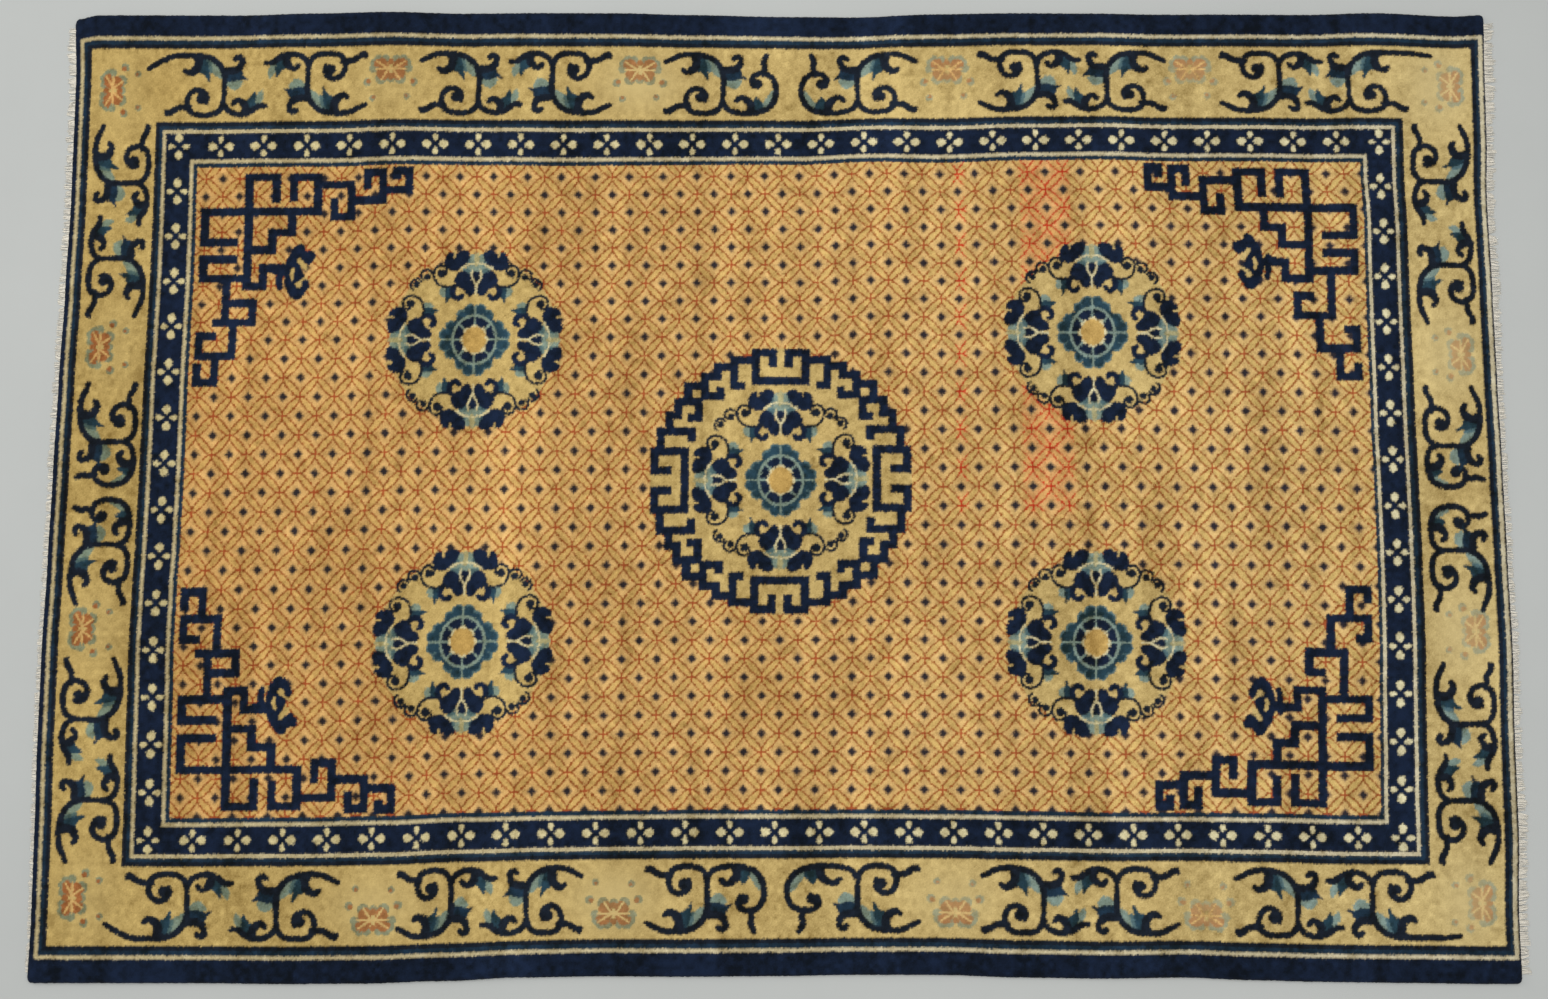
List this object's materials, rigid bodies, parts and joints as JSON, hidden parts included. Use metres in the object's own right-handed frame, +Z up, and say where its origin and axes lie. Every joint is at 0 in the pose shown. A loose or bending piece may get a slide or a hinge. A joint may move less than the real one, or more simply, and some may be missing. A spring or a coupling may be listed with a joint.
{
  "type": "peking rug",
  "caption": "Flat hand-knotted wool rug with medallions, corner frets, a scroll border and a short cotton fringe at each end, lying on a floor.",
  "frame": {"origin": "on the floor, under the middle of the whole rug with its fringes", "axes": "+X along the length, from the left end to the right end; +Y across the width, from the near side to the far side; +Z up from the floor"},
  "size_m": [2.7804, 1.8452, 0.0141],
  "materials": {
    "wool_pile": "short wool pile, dyed gold, navy, blue, cream and rust",
    "cotton_fringe": "undyed cotton warp ends, cut short"
  },
  "bodies": {
    "root": {"rug": "wool_pile", "fringe_left": "cotton_fringe", "fringe_right": "cotton_fringe"}
  },
  "joints": []
}
